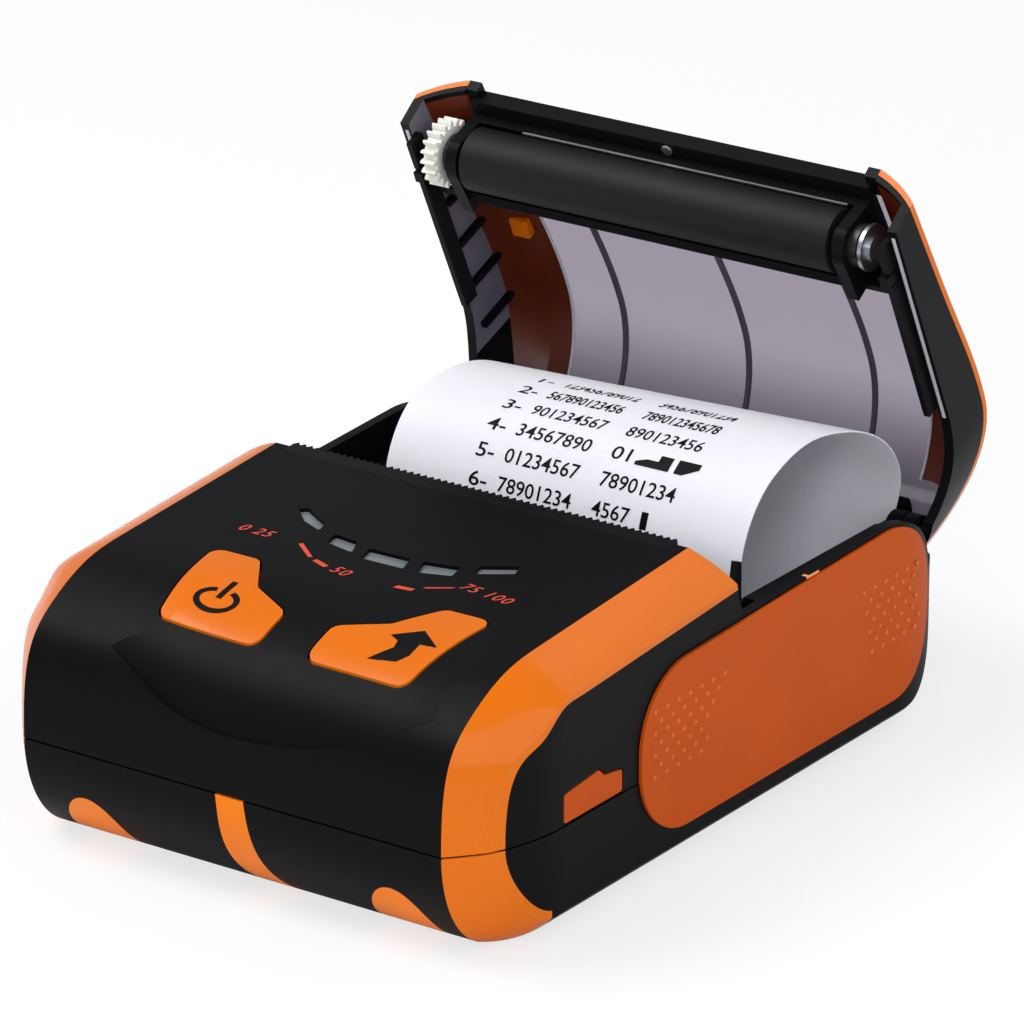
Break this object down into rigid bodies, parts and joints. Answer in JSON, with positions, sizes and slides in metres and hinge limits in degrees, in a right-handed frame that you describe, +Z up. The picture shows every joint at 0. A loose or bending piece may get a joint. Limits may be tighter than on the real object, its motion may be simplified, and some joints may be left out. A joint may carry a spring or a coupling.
{
  "type": "portable receipt printer",
  "caption": "Handheld receipt printer with rounded black casing, orange bands and side panels, smoky hinged lid with platen roller, buttons, status windows and curled paper.",
  "frame": {"origin": "on the plane the feet stand on, in the middle across, below the tear bar's edge", "axes": "+X to the user's right, +Y from the front to the hinge, +Z up"},
  "size_m": [0.11, 0.1646, 0.1058],
  "materials": {
    "shell_black": "satin black moulded plastic",
    "satin_black": "fine-textured black plastic",
    "orange_gloss": "glossy orange plastic",
    "orange_matt": "matt burnt-orange plastic",
    "smoky_window": "clear smoky plastic",
    "thermal_paper": "smooth white thermal paper",
    "roller_rubber": "ground black rubber",
    "foot_rubber": "matt black rubber",
    "steel": "zinc-plated steel",
    "frame_black": "black-coated sheet steel",
    "gear_ivory": "ivory acetal",
    "bush_plastic": "black acetal",
    "heat_sink": "drawn aluminium",
    "motor_case": "plated motor can",
    "brass": "turned brass",
    "circuit_board": "green solder mask",
    "chip_black": "black moulded housings",
    "led_white": "milky lamp bodies",
    "led_lens": "grey translucent lenses",
    "battery_wrap": "blue shrink wrap",
    "port_metal": "tinned steel"
  },
  "bodies": {
    "base": {"bottom_shell": "shell_black", "top_shell": "shell_black", "tear_bar": "satin_black", "upper_trim_left": "orange_gloss", "upper_trim_right": "orange_gloss", "lower_trim_left": "orange_gloss", "lower_trim_right": "orange_gloss", "rear_trim_left": "orange_gloss", "rear_trim_right": "orange_gloss", "front_stripe": "orange_gloss", "front_inlay_left": "orange_gloss", "front_inlay_right": "orange_gloss", "side_panel_left": "orange_matt", "side_panel_right": "orange_matt", "battery_cover": "shell_black", "rubber_feet": "foot_rubber", "case_screws": "steel", "cover_screws": "steel", "head_bracket": "frame_black", "print_head": "heat_sink", "head_springs": "steel", "stepper_motor": "motor_case", "gear_post": "steel", "main_board": "circuit_board", "board_parts": "chip_black", "button_board": "circuit_board", "tact_switches": "chip_black", "status_leds": "led_white", "led_window_1": "led_lens", "led_window_2": "led_lens", "led_window_3": "led_lens", "led_window_4": "led_lens", "led_window_5": "led_lens", "battery_pack": "battery_wrap", "battery_contacts": "brass", "usb_port": "port_metal", "dc_jack": "chip_black", "paper_sensor": "chip_black", "roll_cradle": "satin_black", "receipt_paper": "thermal_paper"},
    "lid": {"lid_frame": "satin_black", "lid_window": "smoky_window", "lid_band_left": "orange_gloss", "lid_band_right": "orange_gloss", "lid_lips": "satin_black", "platen_holder": "satin_black", "holder_webs": "satin_black", "platen_bushes": "bush_plastic", "hinge_pins": "steel"},
    "platen": {"platen_shaft": "steel", "platen_rubber": "roller_rubber", "platen_gear": "gear_ivory", "platen_ring": "steel"},
    "drive": {"drive_gear": "gear_ivory"},
    "pinion": {"motor_pinion": "brass"},
    "power": {"power_button": "orange_gloss"},
    "feed": {"feed_button": "orange_gloss"},
    "port_cover": {"usb_cover": "orange_matt"}
  },
  "joints": [
    {"name": "lid_hinge", "type": "hinge", "parent": "base", "child": "lid", "pos_m": [0, 0.0695, 0.0335], "axis": [1, 0, 0], "range_deg": [0, 67], "deforming": ["receipt_paper"]},
    {"name": "platen_spin", "type": "hinge", "parent": "lid", "child": "platen", "pos_m": [0, 0.05526, 0.09264], "axis": [1, 0, 0], "continuous": true},
    {"name": "drive_spin", "type": "hinge", "parent": "base", "child": "drive", "pos_m": [-0.0471, 0.0071, 0.0292], "axis": [1, 0, 0], "continuous": true},
    {"name": "motor_spin", "type": "hinge", "parent": "base", "child": "pinion", "pos_m": [-0.0471, -0.00406, 0.02454], "axis": [1, 0, 0], "continuous": true},
    {"name": "power_press", "type": "slide", "parent": "base", "child": "power", "axis": [0, 0, -1], "range_m": [0, 0.0005], "stiffness_N_per_m": 300},
    {"name": "feed_press", "type": "slide", "parent": "base", "child": "feed", "axis": [0, 0, -1], "range_m": [0, 0.0005], "stiffness_N_per_m": 300},
    {"name": "port_cover_hinge", "type": "hinge", "parent": "base", "child": "port_cover", "pos_m": [0.0544, -0.0439, 0.0211], "axis": [0, 1, 0], "range_deg": [0, 105]}
  ],
  "couplings": [
    {"joint": "motor_spin", "follows": "drive_spin", "ratio": -2.3333}
  ]
}
